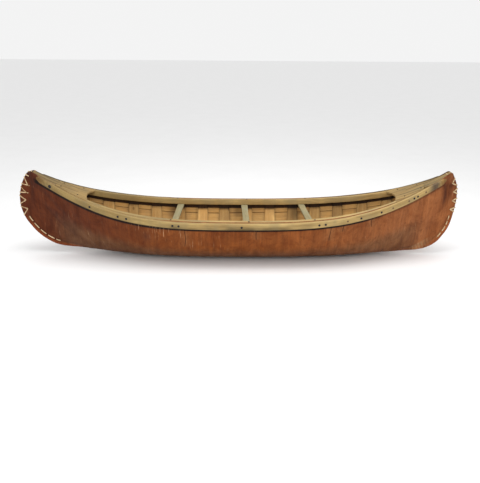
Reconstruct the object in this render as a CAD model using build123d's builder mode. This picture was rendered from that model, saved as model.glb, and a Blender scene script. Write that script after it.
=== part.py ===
"""Small birch-bark hunting canoe with a split-cedar frame.

X runs along the keel (left end at -X), Y across the beam, Z up.  The origin is the middle of
the underside: the lowest point of the bark is at Z = 0.  Millimetres.
"""
from build123d import *
import os
import numpy as np

# ---- driving dimensions ----
half_length = 1525.0         # stem to stem is twice this
left_tip = 1417.0            # distance of the left gunwale tips from the middle
right_tip = 1461.0
waist_depth = 320.0          # gunwale top above the bark's underside amidships
sheer_rise = 274.0           # rise of the gunwale from the waist to the tips
sheer_power = 3.0
half_beam = 341.0            # over the outwales
tip_half_beam = 54.0
plan_power = 3.3
plan_fullness = 1.75
left_rocker = 70.0           # lift of the keel line 1300 mm from the middle
right_rocker = 33.0

bark_thick = 5.0
sheathing_thick = 4.6
rib_thick = 8.0
rib_width = 86.0
rib_pitch = 168.0
first_rib = -1112.0
rib_count = 15
layer_gap = 0.4

outwale_width = 28.0
outwale_depth = 41.0
inwale_width = 36.0
inwale_depth = 40.0
gunwale_taper = 0.78         # width left at the tips
rabbet_inset = 21.6          # the inwale's lower part stands clear of the rib tips
rabbet_top = 12.0
rabbet_drop = 26.0

thwart_places = (-435.0, 45.0, 473.0)
thwart_width = 48.0
thwart_thick = 16.0
thwart_shoulder = 4.0        # height of the top above the inwale underside it is notched for
deck_thick = 12.0
deck_left_inner = -1030.0
deck_right_inner = 1060.0
deck_length = 225.0
tip_block_thick = 22.0
headboard_thick = 9.0
headboard_left = -1196.0
headboard_right = 1306.0
lining_left = -1180.0
lining_right = 1236.0

fin_half_thick = 4.5
fin_depth = 88.0             # width of the sewn flat bark outboard of the stem crease
stem_width = 24.0
stem_half_thick = 3.8
root_radius = 3.0
nail_head_radius = 6.0
nail_shank_radius = 1.8
nail_length = 20.0

# Outer edge of the flat sewn bark, from where it leaves the keel to the stem head.
left_stem_edge = [(-1120, 44), (-1275, 66), (-1384, 125), (-1462, 209), (-1510, 298),
                  (-1525, 400), (-1503, 506), (-1464, 580)]
right_stem_edge = [(1160, 23), (1304, 38), (1395, 78), (1447, 134), (1490, 212), (1513, 315),
                   (1525, 431), (1512, 525), (1478, 590)]
left_head = [(-1440, 593), (-1395, 597)]
right_head = [(1463, 603), (1420, 590)]


# ---- the hull's shape ----
def end_fraction(x):
    """0 amidships, 1 at the gunwale tips."""
    return min(abs(x) / (left_tip if x < 0 else right_tip), 1.0)


def sheer(x):
    """Height of the gunwale top."""
    return waist_depth + sheer_rise * end_fraction(x) ** sheer_power


def rocker(x):
    """Height of the keel line."""
    lift = left_rocker if x < 0 else right_rocker
    return lift * (abs(x) / 1300.0) ** 3


def outwale_thick(x):
    return outwale_width * (1 - (1 - gunwale_taper) * end_fraction(x) ** 4)


def bark_half_beam(x):
    """Half breadth over the bark at the gunwale."""
    fullness = (1 - end_fraction(x) ** plan_power) ** plan_fullness
    return tip_half_beam + (half_beam - tip_half_beam) * fullness - outwale_thick(x)


def stem_lines(edge_points):
    """The stem's outer edge and, inboard of it, the crease where the two sides part."""
    edge = Spline(*edge_points, mode=Mode.PRIVATE)
    outer = []
    crease = []
    for place in np.linspace(0, 1, 25):
        point = edge @ place
        along = edge % place
        inward = Vector(-along.Y, along.X) if point.X > 0 else Vector(along.Y, -along.X)
        growth = min(place / 0.42, 1.0)
        depth = fin_depth * growth * growth * (3 - 2 * growth)
        outer.append(point)
        crease.append((point + inward * depth, inward))
    return outer, crease


left_outer, left_crease = stem_lines(left_stem_edge)
right_outer, right_crease = stem_lines(right_stem_edge)


def hull_bottom(x):
    """Lowest height at which the two sides part: the keel line, then the stem crease."""
    crease = left_crease if x < 0 else right_crease
    reach = [abs(point.X) for point, inward in crease]
    top = int(np.argmax(reach))
    heights = [point.Y for point, inward in crease[:top + 1]]
    if abs(x) < reach[0]:
        return rocker(x)
    return float(np.interp(abs(x), reach[:top + 1], heights))


def trace(x, inset, start, stop, count):
    """(y, z) points of the bark's outer face at station x, moved inwards by inset.

    start and stop are fractions of the girth from the keel (0) to the gunwale (1).
    """
    roundness = 1 - end_fraction(x) ** 3
    crown = 1 + 2.0 * roundness
    bilge = 1.15 + 1.15 * roundness
    flare = 0.12 * roundness
    climb = np.linspace(0, 1, 241) ** bilge
    half = bark_half_beam(x)
    y = half * (1 - (1 - climb) ** crown) ** (1 / bilge) * (1 - flare * (1 - climb))
    z = hull_bottom(x) + (sheer(x) - hull_bottom(x)) * climb
    step = np.hypot(np.diff(y), np.diff(z))
    girth = np.concatenate([[0], np.cumsum(step)]) / step.sum()
    slope_y = np.gradient(y)
    slope_z = np.gradient(z)
    size = np.hypot(slope_y, slope_z)
    y_in = y - inset * slope_z / size
    z_in = z + inset * slope_y / size
    first = start
    if start == 0:
        crossed = np.nonzero(y_in <= 0)[0]
        first = girth[crossed[-1]] if len(crossed) else 0.0
    spacing = 1.6 if start == 0 else 1.0
    picks = first + (stop - first) * np.linspace(0, 1, count) ** spacing
    points = [(float(np.interp(s, girth, y_in)), float(np.interp(s, girth, z_in))) for s in picks]
    if start == 0:
        points[0] = (0.0, points[0][1])
    return points


def girth(x):
    """Length of one side's section from the keel to the gunwale."""
    points = trace(x, 0, 0, 1, 60)
    return sum((Vector(*a) - Vector(*b)).length for a, b in zip(points, points[1:]))


def below_gunwale(x, drop):
    """Girth fraction of a line this far below the gunwale top."""
    return 1 - drop / girth(x)


def at_gunwale(x, inset, drop):
    """(y, z) of a point near the gunwale, inset from the bark and drop below its edge."""
    place = below_gunwale(x, max(drop, 0))
    y, z = trace(x, inset, place, 1, 2)[0]
    return (y, z - min(drop, 0))


def draw_band(x, inset, thick, start, stop, count=7):
    """Outline, in the current line block, of the section between two layers of the hull."""
    outer = trace(x, inset, start, stop, count)
    inner = trace(x, inset + thick, start, stop, count)
    Spline(*outer)
    Line(outer[-1], inner[-1])
    Spline(*inner)
    Line(inner[0], outer[0])


def stations(low, high, count):
    """Stations along the hull, closer together where the plan curves most."""
    swing = np.linspace(np.arcsin(low / half_length), np.arcsin(high / half_length), count)
    return [float(x) for x in half_length * np.sin(swing)]


def save(piece, name):
    piece.part.label = name
    export_step(piece.part, f"parts/{name}.step")


def on_both_sides(build, name):
    """Save the piece built on the +Y side and its mirror image."""
    save(build, f"{name}_far")
    with BuildPart() as twin:
        add(mirror(build.part, about=Plane.XZ, mode=Mode.PRIVATE))
    save(twin, f"{name}_near")


def end_plate(outline, half_thick):
    """A flat piece on the centre plane, from its outline in X and Z."""
    with BuildPart() as plate:
        with BuildSketch(Plane.XZ):
            with BuildLine():
                for points in outline:
                    if len(points) > 2:
                        Spline(*points)
                    else:
                        Line(*points)
            make_face()
        extrude(amount=half_thick, both=True)
    return plate


os.makedirs("parts", exist_ok=True)

# ---- stem pieces: bent laths in the fold of the bark ----
stem_pieces = {}
stem_sleeves = {}
for side, crease in (("left", left_crease), ("right", right_crease)):
    rows = crease[8:21:2]

    def offset_line(distance):
        return [tuple(point + inward * distance)[:2] for point, inward in rows]

    for store, low, high, thick in ((stem_pieces, 4, 4 + stem_width, stem_half_thick),
                                    (stem_sleeves, -2, 9 + stem_width, stem_half_thick + 4.5)):
        front = offset_line(low)
        back = offset_line(high)
        store[side] = end_plate([front, [front[-1], back[-1]], back[::-1], [back[0], front[0]]],
                                thick)
    save(stem_pieces[side], f"stem_piece_{side}")

# ---- bark skin: one folded sheet with a flat sewn fin at each end ----
fins = []
for outer, crease, head in ((left_outer, left_crease, left_head),
                            (right_outer, right_crease, right_head)):
    edge = [tuple(point)[:2] for point in outer[::3]]
    inner = [tuple(point + inward * 12)[:2] for point, inward in crease[::3]]
    fins.append(end_plate([edge, [edge[-1], head[0]], head, [head[-1], inner[-1]],
                           inner[::-1], [inner[0], edge[0]]], fin_half_thick))

hull_stations = stations(-left_tip, right_tip, 37)
with BuildPart() as bark_hull:
    for x in hull_stations:
        with BuildSketch(Plane.YZ.offset(x)):
            with BuildLine():
                draw_band(x, 0, bark_thick, 0, 1, 17)
            make_face()
    loft(ruled=True)
    mirror(about=Plane.XZ)
    for fin in fins:
        add(fin.part)
    for side in stem_sleeves:
        add(stem_sleeves[side].part)
        add(stem_pieces[side].part, mode=Mode.SUBTRACT)
save(bark_hull, "bark_hull")

# ---- decks: boards let into the tops of the inwales, hollowed at the inner edge ----
deck_ends = {"left": (deck_left_inner - deck_length, deck_left_inner),
             "right": (deck_right_inner, deck_right_inner + deck_length)}
tip_ends = {"left": (-left_tip + 48, deck_ends["left"][0] - 1),
            "right": (deck_ends["right"][1] + 1, right_tip - 84)}


def board(low, high, thick, above=4.0, widen=0.0):
    """A board between the bark's inner faces, following the sheer, its top above the gunwale."""
    with BuildPart() as piece:
        for x in np.linspace(low, high, 7):
            reach = at_gunwale(x, bark_thick + layer_gap, 0)[0] + widen
            with BuildSketch(Plane.YZ.offset(float(x))):
                with Locations((0, sheer(x) + above)):
                    Rectangle(2 * reach, thick + above - 4.0, align=(Align.CENTER, Align.MAX))
        loft(ruled=True)
    return piece


decks = {}
tip_blocks = {}
for side, inner in (("left", deck_left_inner), ("right", deck_right_inner)):
    outward = -1 if side == "left" else 1
    with BuildPart() as deck:
        add(board(*deck_ends[side], deck_thick).part)
        with Locations((inner - outward * 105, 0, sheer(inner))):
            Cylinder(130, 200, mode=Mode.SUBTRACT)
    decks[side] = deck
    save(deck, f"deck_{side}")
    tip_blocks[side] = board(*tip_ends[side], tip_block_thick)
    save(tip_blocks[side], f"tip_block_{side}")

# ---- inwales: rabbeted over the rib tips, let down under the decks ----
thwart_nail_shift = (-20, 14, 22)
with BuildPart() as thwart_nails:
    for x, shift in zip(thwart_places, thwart_nail_shift):
        for hand in (-1, 1):
            y, z = at_gunwale(x, bark_thick + inwale_width * 0.42, 0)
            with Locations((x + shift, hand * y, z + 0.4)):
                Cylinder(nail_head_radius * 0.8, 2.4)
save(thwart_nails, "thwart_nails")

with BuildPart() as inwale:
    for x in hull_stations[1:-1]:
        inset = bark_thick + layer_gap
        inner_inset = inset + inwale_width * outwale_thick(x) / outwale_width
        corners = [at_gunwale(x, inset, 0), at_gunwale(x, inset, rabbet_top),
                   at_gunwale(x, rabbet_inset, rabbet_drop),
                   at_gunwale(x, rabbet_inset, inwale_depth),
                   at_gunwale(x, inner_inset, inwale_depth), at_gunwale(x, inner_inset, 0)]
        corners = [(max(y, fin_half_thick + layer_gap), z) for y, z in corners]
        with BuildSketch(Plane.YZ.offset(x)):
            with BuildLine():
                Polyline(*corners, close=True)
            make_face()
    loft(ruled=True)
    for side in decks:
        for low, high, thick in ((*deck_ends[side], deck_thick),
                                 (*tip_ends[side], tip_block_thick)):
            recess = board(low - 1, high + 1, thick + layer_gap, above=40.0, widen=6.0)
            add(recess.part, mode=Mode.SUBTRACT)
    add(thwart_nails.part, mode=Mode.SUBTRACT)
on_both_sides(inwale, "inwale")

# ---- outwales, with the nails that hold them ----
outwale_nail_places = (-1290, -1000, -804, -746, -440, -400, 11, 520, 562, 711, 803, 946, 1029,
                       1147, 1186, 1213, 1274)
with BuildPart() as outwale:
    for x in hull_stations:
        inset = -layer_gap
        corners = [at_gunwale(x, inset, 0), at_gunwale(x, inset, outwale_depth),
                   at_gunwale(x, inset - outwale_thick(x), outwale_depth),
                   at_gunwale(x, inset - outwale_thick(x), 0)]
        with BuildSketch(Plane.YZ.offset(x)):
            with BuildLine():
                Polyline(*corners, close=True)
            make_face()
    loft(ruled=True)


def side_nail(x):
    """A nail driven square into the outwale's outer face."""
    y, z = at_gunwale(x, -outwale_thick(x), outwale_depth / 2)
    upper = at_gunwale(x, -outwale_thick(x), 5)
    lower = at_gunwale(x, -outwale_thick(x), outwale_depth - 5)
    ahead = at_gunwale(x + 10, -outwale_thick(x + 10), outwale_depth / 2)
    behind = at_gunwale(x - 10, -outwale_thick(x - 10), outwale_depth / 2)
    along = Vector(20, ahead[0] - behind[0], ahead[1] - behind[1])
    up = Vector(0, upper[0] - lower[0], upper[1] - lower[1])
    face = Plane(origin=(x, y, z), x_dir=along, z_dir=up.cross(along))
    with BuildPart(face) as nail:
        Cylinder(nail_head_radius, 2.4, align=(Align.CENTER, Align.CENTER, Align.CENTER))
        with Locations((0, 0, -1)):
            Cylinder(nail_shank_radius, nail_length, align=(Align.CENTER, Align.CENTER, Align.MAX))
    return nail


with BuildPart() as outwale_nails:
    for x in outwale_nail_places:
        add(side_nail(x).part)
with BuildPart() as drilled_outwale:
    add(outwale.part)
    add(outwale_nails.part, mode=Mode.SUBTRACT)
on_both_sides(drilled_outwale, "outwale")
on_both_sides(outwale_nails, "outwale_nails")

# ---- thwarts: flat bars, shouldered at the ends to lie under the inwales ----
thwart_names = ("thwart_left", "thwart_middle", "thwart_right")
for x, name in zip(thwart_places, thwart_names):
    under = min(at_gunwale(x, rabbet_inset, inwale_depth)[1],
                at_gunwale(x, bark_thick + inwale_width, inwale_depth)[1]) - layer_gap
    layers = bark_thick + sheathing_thick + rib_thick + 6 * layer_gap
    reach = at_gunwale(x, layers, inwale_depth + thwart_thick)[0] - 2
    shoulder = at_gunwale(x, bark_thick + inwale_width, inwale_depth)[0] - 2
    with BuildPart() as thwart:
        with BuildSketch(Plane.XY.offset(under + thwart_shoulder)):
            with Locations((x, 0)):
                Rectangle(thwart_width, 2 * reach)
        extrude(amount=-thwart_thick)
        chamfer(thwart.edges().filter_by(Axis.Y), 2.5)
        with BuildSketch(Plane.XY.offset(under)):
            with Locations((x, shoulder + reach), (x, -shoulder - reach)):
                Rectangle(2 * thwart_width, 2 * reach)
        extrude(amount=2 * thwart_shoulder, mode=Mode.SUBTRACT)
    save(thwart, name)

with BuildPart() as deck_nails:
    for side, outward in (("left", -1), ("right", 1)):
        for share, spread in ((0.32, 0.72), (0.86, 0.6)):
            x = deck_ends[side][0 if outward > 0 else 1] + outward * deck_length * share
            y = spread * at_gunwale(x, bark_thick, 0)[0]
            with Locations((x, y, sheer(x) + 4.6), (x, -y, sheer(x) + 4.6)):
                Cylinder(nail_head_radius * 0.8, 4)
    for side in decks:
        add(decks[side].part, mode=Mode.SUBTRACT)
save(deck_nails, "deck_nails")

# ---- ribs: one bent lath from gunwale to gunwale ----
rib_inset = bark_thick + sheathing_thick + 6 * layer_gap
for number in range(rib_count):
    middle = first_rib + rib_pitch * number
    with BuildPart() as rib:
        for x in (middle - rib_width / 2, middle + rib_width / 2):
            with BuildSketch(Plane.YZ.offset(x)):
                with BuildLine():
                    draw_band(x, rib_inset, rib_thick, 0, below_gunwale(x, rabbet_drop + 3), 13)
                make_face()
        loft()
        mirror(about=Plane.XZ)
    save(rib, f"rib_{number + 1:02d}")

# ---- sheathing: thin split planks between bark and ribs ----
seams = (0.14, 0.28, 0.42, 0.56, 0.70, 0.85)
lining_stations = [x for x in hull_stations if lining_left < x < lining_right]
with BuildPart() as keel_strake:
    for x in lining_stations:
        with BuildSketch(Plane.YZ.offset(x)):
            with BuildLine():
                top_seam = below_gunwale(x, rabbet_drop + 8)
                draw_band(x, bark_thick + layer_gap, sheathing_thick, 0, seams[0] * top_seam)
            make_face()
    loft(ruled=True)
    mirror(about=Plane.XZ)
save(keel_strake, "sheathing_keel")
for number, low in enumerate(seams):
    with BuildPart() as strake:
        for x in lining_stations:
            top_seam = below_gunwale(x, rabbet_drop + 8)
            high = seams[number + 1] * 0.997 if number + 1 < len(seams) else 1.0
            with BuildSketch(Plane.YZ.offset(x)):
                with BuildLine():
                    draw_band(x, bark_thick + layer_gap, sheathing_thick,
                              low * top_seam + 0.002, high * top_seam)
                make_face()
        loft(ruled=True)
    on_both_sides(strake, f"sheathing_{number + 1}")

# ---- headboards: upright boards closing the ends under the decks ----
for name, x in (("headboard_left", headboard_left), ("headboard_right", headboard_right)):
    foot = max(bark_thick + sheathing_thick + 4, 14)
    with BuildPart() as headboard:
        with BuildSketch(Plane.YZ.offset(x)):
            with BuildLine():
                half = trace(x, foot, 0, below_gunwale(x, inwale_depth + 12), 9)
                Spline(*half)
                Line(half[-1], (0, half[-1][1]))
                Line((0, half[-1][1]), half[0])
            make_face()
        extrude(amount=headboard_thick)
        mirror(about=Plane.XZ)
    save(headboard, name)


# ---- roots: stitches over the stem edge, running stitches round the chin, tip lashings ----
def rod(points, bend=4.5):
    """A round root along a path of straight runs with rounded corners."""
    with BuildPart() as root:
        with BuildLine() as path:
            if len(points) > 2:
                FilletPolyline(*points, radius=bend)
            else:
                Line(*points)
        with BuildSketch(Plane(origin=points[0], z_dir=Vector(*points[1]) - Vector(*points[0]))):
            Circle(root_radius)
        sweep(path=path.line if len(points) == 2 else path.wire())
    return root


clear = fin_half_thick + root_radius + 0.2


def hitch(edge, inward, reach):
    """One stitch over the stem edge, its legs spread along the edge."""
    run = Vector(-inward.Y, inward.X)
    inner = edge + inward * reach
    lead = inner + run * 22
    return rod([(lead.X, clear, lead.Y), (edge.X - inward.X * 5, clear, edge.Y - inward.Y * 5),
                (edge.X - inward.X * 5, -clear, edge.Y - inward.Y * 5), (inner.X, -clear, inner.Y)])


for side, outer, crease in (("left", left_outer, left_crease),
                            ("right", right_outer, right_crease)):
    inwards = [inward for point, inward in crease]
    with BuildPart() as stem_roots:
        for place in range(10, 23, 2):
            add(hitch(outer[place], inwards[place], 42).part)
    save(stem_roots, f"stem_stitching_{side}")
    with BuildPart() as chin_roots:
        for place in range(1, 9):
            for hand in (-1, 1):
                start = outer[place] + inwards[place] * (4 + 2.4 * place)
                end = outer[place] * 0.5 + outer[place + 1] * 0.5 + inwards[place] * (4 + 2.4 * place)
                add(rod([(start.X, hand * clear, start.Y),
                         (end.X, hand * clear, end.Y)]).part)
    save(chin_roots, f"chin_stitching_{side}")

    head = left_head[0] if side == "left" else right_head[0]
    tip = (left_tip if side == "left" else right_tip) + root_radius + 2
    hand = -1 if side == "left" else 1
    with BuildPart() as lashing:
        for turn in range(3):
            share = 0.15 + 0.35 * turn
            edge = (head[0] * share + outer[-1].X * (1 - share) + 5 * hand,
                    head[1] * share + outer[-1].Y * (1 - share) + 4)
            foot = (tip * hand, sheer(tip) - 38 + 14 * turn)
            add(rod([(foot[0], clear, foot[1]), (edge[0], clear, edge[1]),
                     (edge[0], -clear, edge[1]), (foot[0], -clear, foot[1])]).part)
    save(lashing, f"tip_lashing_{side}")
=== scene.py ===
"""Looks of a small birch-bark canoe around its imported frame: every visible piece is rebuilt as a
finer mesh on the same hull shape, in metres, with its own node material."""
import math
import bpy
import numpy as np
from mathutils import Matrix, Vector


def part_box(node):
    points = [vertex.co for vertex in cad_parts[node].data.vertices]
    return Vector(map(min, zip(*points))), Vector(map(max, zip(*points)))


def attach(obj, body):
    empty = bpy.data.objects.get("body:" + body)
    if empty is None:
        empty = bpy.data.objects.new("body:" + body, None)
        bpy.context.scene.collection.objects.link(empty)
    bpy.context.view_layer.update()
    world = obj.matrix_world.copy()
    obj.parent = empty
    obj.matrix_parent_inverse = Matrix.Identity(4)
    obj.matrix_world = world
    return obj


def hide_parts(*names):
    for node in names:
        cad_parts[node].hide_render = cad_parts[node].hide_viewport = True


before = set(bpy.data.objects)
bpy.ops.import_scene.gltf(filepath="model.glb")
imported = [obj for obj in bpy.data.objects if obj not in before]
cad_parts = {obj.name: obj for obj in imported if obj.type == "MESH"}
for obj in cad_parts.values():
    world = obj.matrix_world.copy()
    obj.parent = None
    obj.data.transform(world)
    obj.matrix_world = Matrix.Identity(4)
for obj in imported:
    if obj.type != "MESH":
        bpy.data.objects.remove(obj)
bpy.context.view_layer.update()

# ---- the hull's driving sizes, as in the frame ----
HALF_LENGTH = 1.525
LEFT_TIP = 1.417
RIGHT_TIP = 1.461
WAIST_DEPTH = 0.320
SHEER_RISE = 0.274
SHEER_POWER = 3.0
HALF_BEAM = 0.341
TIP_HALF_BEAM = 0.054
PLAN_POWER = 3.3
PLAN_FULLNESS = 1.75
LEFT_ROCKER = 0.070
RIGHT_ROCKER = 0.033
BARK = 0.005
SHEATHING = 0.0046
RIB = 0.008
GAP = 0.0004
OUTWALE_WIDTH = 0.028
OUTWALE_DEPTH = 0.041
INWALE_WIDTH = 0.036
INWALE_DEPTH = 0.040
GUNWALE_TAPER = 0.78
RABBET_INSET = 0.0216
RABBET_TOP = 0.012
RABBET_DROP = 0.026
THWART_SHOULDER = 0.004
BARK_LIP = 0.0035           # the bark's edge stands this far above the middle gunwales
FIN_HALF = 0.0047
FIN_DEPTH = 0.088
RIB_PITCH = 0.168
FIRST_RIB = -1.112
RIB_COUNT = 15
RIB_WIDTH = 0.086
SLITS = [(-0.363, 0.050, 0.200), (0.111, 0.062, 0.128), (0.602, 0.052, 0.165),
         (0.688, 0.054, 0.108), (0.890, 0.056, 0.122)]      # x, and the drops where each begins and ends
NAILS = (-1.290, -1.000, -0.804, -0.746, -0.440, -0.400, 0.011, 0.520, 0.562, 0.711, 0.803, 0.946,
         1.029, 1.147, 1.186, 1.213, 1.274)
BROWN_NAILS = (0.711, 1.029, 1.147, 1.274)
NAIL_RADIUS = 0.0074
EDGE_POINTS = 300           # points along a stem's edge
GIRTH_POINTS = 92           # points of the bark from keel to gunwale
SLIT_HALF = 0.0022          # half the width of an open gore slit
PLAIN_TINT = (1.0, 1.0, 1.0)
RUST_TINT = (9.0, 5.2, 2.6)
ROOT_RADIUS = 0.0034
ROOT_FLATNESS = 0.72
ROOT_SIDES = 8
SIDES = ((1, "far"), (-1, "near"))
THWARTS = {"thwart_left": -0.435, "thwart_middle": 0.045, "thwart_right": 0.473}

LEFT_STEM = [(-1.120, 0.044), (-1.275, 0.066), (-1.384, 0.125), (-1.462, 0.209), (-1.510, 0.298),
             (-1.525, 0.400), (-1.503, 0.506), (-1.464, 0.580), (-1.440, 0.593), (-1.395, 0.597)]
RIGHT_STEM = [(1.160, 0.023), (1.304, 0.038), (1.395, 0.078), (1.447, 0.134), (1.490, 0.212),
              (1.513, 0.315), (1.525, 0.431), (1.512, 0.525), (1.478, 0.584), (1.466, 0.592),
              (1.430, 0.584)]


def smooth(value, low, high):
    """0 below low, 1 above high, and a soft step between."""
    t = np.clip((np.asarray(value, float) - low) / (high - low), 0, 1)
    return t * t * (3 - 2 * t)


def fade(value, low, high):
    """The reverse of smooth: 1 below low, 0 above high."""
    return 1 - smooth(value, low, high)


def bell(value, middle, width, power=2):
    """1 at middle, falling softly to 0 beyond width on either side."""
    return np.exp(-((value - middle) / width) ** power)


def running_length(line):
    """Length along a polyline at each of its points."""
    return np.concatenate([[0], np.cumsum(np.linalg.norm(np.diff(line, axis=0), axis=1))])


def along_line(picks, run, line):
    """Points of a polyline at these places along it."""
    return np.stack([np.interp(picks, run, line[:, k]) for k in range(line.shape[1])], 1)


def curve_through(points, count):
    """Evenly spread points on a smooth curve through the given ones."""
    p = np.array(points, float)
    p = np.vstack([2 * p[0] - p[1], p, 2 * p[-1] - p[-2]])
    fine = []
    for i in range(1, len(p) - 2):
        for t in np.linspace(0, 1, 24, endpoint=False):
            a = 2 * p[i]
            b = p[i + 1] - p[i - 1]
            c = 2 * p[i - 1] - 5 * p[i] + 4 * p[i + 1] - p[i + 2]
            d = 3 * p[i] - p[i - 1] - 3 * p[i + 1] + p[i + 2]
            fine.append(0.5 * (a + b * t + c * t * t + d * t ** 3))
    fine.append(p[-2])
    fine = np.array(fine)
    run = running_length(fine)
    return along_line(run[-1] * np.linspace(0, 1, count), run, fine)


def end_fraction(x):
    return np.minimum(np.abs(x) / np.where(np.asarray(x) < 0, LEFT_TIP, RIGHT_TIP), 1.0)


def sheer(x):
    return WAIST_DEPTH + SHEER_RISE * end_fraction(x) ** SHEER_POWER


def rocker(x):
    return np.where(np.asarray(x) < 0, LEFT_ROCKER, RIGHT_ROCKER) * (np.abs(x) / 1.3) ** 3


def outwale_thick(x):
    return OUTWALE_WIDTH * (1 - (1 - GUNWALE_TAPER) * end_fraction(x) ** 4)


def bark_half_beam(x):
    fullness = (1 - end_fraction(x) ** PLAN_POWER) ** PLAN_FULLNESS
    return TIP_HALF_BEAM + (HALF_BEAM - TIP_HALF_BEAM) * fullness - outwale_thick(x)


class Stem:
    """One end's sewn fin: its outer edge and the crease inboard of it."""

    def __init__(self, points):
        self.side = -1 if points[0][0] < 0 else 1
        self.edge = curve_through(points, EDGE_POINTS)
        along = np.gradient(self.edge, axis=0)
        along /= np.linalg.norm(along, axis=1)[:, None]
        self.inward = np.stack([-along[:, 1], along[:, 0]], 1) * self.side
        depth = FIN_DEPTH * smooth(np.linspace(0, 1, EDGE_POINTS), 0, 0.36)
        self.crease = self.edge + self.inward * depth[:, None]
        reach = np.abs(self.edge[:, 0])
        self.tip = int(np.argmax(reach))
        self.reach = reach
        crease_reach = np.abs(self.crease[:, 0])
        self.crease_tip = int(np.argmax(crease_reach))
        self.crease_reach = crease_reach
        self.start = reach[0]
        self.gunwale_tip = LEFT_TIP if self.side < 0 else RIGHT_TIP
        self.stain_and_shadow = 0.35 if self.side < 0 else 0.6

    def low(self, x):
        """Height of the lower edge."""
        return np.interp(abs(x), self.reach[:self.tip + 1], self.edge[:self.tip + 1, 1])

    def high(self, x):
        """Height of the upper edge beyond the gunwale tips."""
        return np.interp(-abs(x), -self.reach[self.tip:], self.edge[self.tip:, 1])

    def fold(self, x):
        """Height of the crease, where the two sides part."""
        top = self.crease_tip
        return np.interp(abs(x), self.crease_reach[:top + 1], self.crease[:top + 1, 1])

    def at(self, share, inboard):
        """Point (x, z) at a share of the edge's length, moved inboard."""
        shares = np.linspace(0, 1, EDGE_POINTS)
        return along_line([share], shares, self.edge + self.inward * inboard)[0]


STEMS = {"left": Stem(LEFT_STEM), "right": Stem(RIGHT_STEM)}


def stem_of(x):
    return STEMS["left"] if x < 0 else STEMS["right"]


def bark_lip(x):
    """Height of the bark's edge over the gunwales: flush at the left, proud from there on."""
    lip = BARK_LIP * float(smooth(x, -0.62, -0.40)) * (1 - 0.8 * float(smooth(x, 1.0, 1.2)))
    return lip + 0.0065 * float(smooth(x, 1.38, RIGHT_TIP))


def hull_bottom(x):
    stem = stem_of(x)
    return float(rocker(x)) if abs(x) < stem.start else float(stem.fold(x))


def section(x):
    """The bark's outer face at station x: dense (y, z) line from keel to gunwale."""
    roundness = 1 - end_fraction(x) ** 3
    crown = 1 + 2.0 * roundness
    bilge = 1.15 + 1.15 * roundness
    flare = 0.12 * roundness
    climb = np.linspace(0, 1, 241) ** bilge
    y = bark_half_beam(x) * (1 - (1 - climb) ** crown) ** (1 / bilge) * (1 - flare * (1 - climb))
    z = hull_bottom(x) + (sheer(x) - hull_bottom(x)) * climb
    return np.stack([y, z], 1)


def inset_line(line, inset):
    """A (y, z) line moved towards the inside of the hull."""
    slope = np.gradient(line, axis=0)
    slope /= np.linalg.norm(slope, axis=1)[:, None]
    return line + inset * np.stack([-slope[:, 1], slope[:, 0]], 1)


def layer_at(x, inset, picks):
    """The (y, z) points of a layer at station x, at these girth fractions from keel to gunwale."""
    line = section(x)
    share = running_length(line)
    share /= share[-1]
    moved = inset_line(line, inset)
    picks = np.array(picks, float)
    at_keel = picks[0] <= 0
    if at_keel:
        crossed = np.nonzero(moved[:, 0] <= 0)[0]
        first = share[crossed[-1]] if len(crossed) else 0.0
        picks = first + (1 - first) * picks
    points = along_line(picks, share, moved)
    if at_keel:
        points[0, 0] = 0.0
    return points


def below(x, drop):
    """Girth fraction of a line this far below the gunwale."""
    return 1 - drop / running_length(section(x))[-1]


def at_gunwale(x, inset, drop):
    """(y, z) near the gunwale: inset from the bark's outer face, drop below its edge."""
    y, z = layer_at(x, inset, [below(x, max(drop, 0.0))])[0]
    return np.array([y, z - min(drop, 0.0)])


def wobble(u, v, size, seed, scale=1.0):
    """Smooth hand-made unevenness over two coordinates in metres, up to about size."""
    dice = np.random.default_rng(seed)
    total = np.zeros(np.broadcast(u, v).shape)
    for _ in range(6):
        pitch = dice.uniform(0.06, 0.5) * scale
        turn = dice.uniform(0, math.tau)
        phase = dice.uniform(0, math.tau)
        total = total + np.sin((u * math.cos(turn) + v * math.sin(turn)) * math.tau / pitch + phase)
    return total * size / 3.0


def tone(red, green, blue):
    """A display colour of 0 to 255 as linear light."""
    value = np.array([red, green, blue], float) / 255
    linear = np.where(value <= 0.04045, value / 12.92, ((value + 0.055) / 1.055) ** 2.4)
    return tuple(float(c) for c in linear) + (1.0,)


# ---- meshes ----
def add_piece(name, points, faces, material, nodes, grain, colour=None):
    """A finished mesh object that rides on the canoe and stands for the named nodes."""
    mesh = bpy.data.meshes.new(name)
    mesh.from_pydata([tuple(p) for p in points], [], faces)
    grains = mesh.attributes.new("grain", "FLOAT_VECTOR", "POINT")
    grains.data.foreach_set("vector", np.asarray(grain, np.float32).ravel())
    tint = np.ones((len(points), 4), np.float32)
    if colour is not None:
        tint[:, :3] = np.asarray(colour).reshape(-1, 3)
    tints = mesh.attributes.new("tint", "FLOAT_COLOR", "POINT")
    tints.data.foreach_set("color", tint.ravel())
    mesh.validate()
    mesh.shade_smooth()
    mesh.materials.append(material)
    piece = bpy.data.objects.new(name, mesh)
    bpy.context.scene.collection.objects.link(piece)
    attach(piece, "root")
    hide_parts(*nodes)
    return piece


def soften(piece, width):
    """Round a piece's arrises."""
    bevel = piece.modifiers.new("soft_edges", "BEVEL")
    bevel.width = width
    bevel.segments = 2
    bevel.limit_method = "ANGLE"
    bevel.angle_limit = math.radians(35)
    bevel.harden_normals = True


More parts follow.
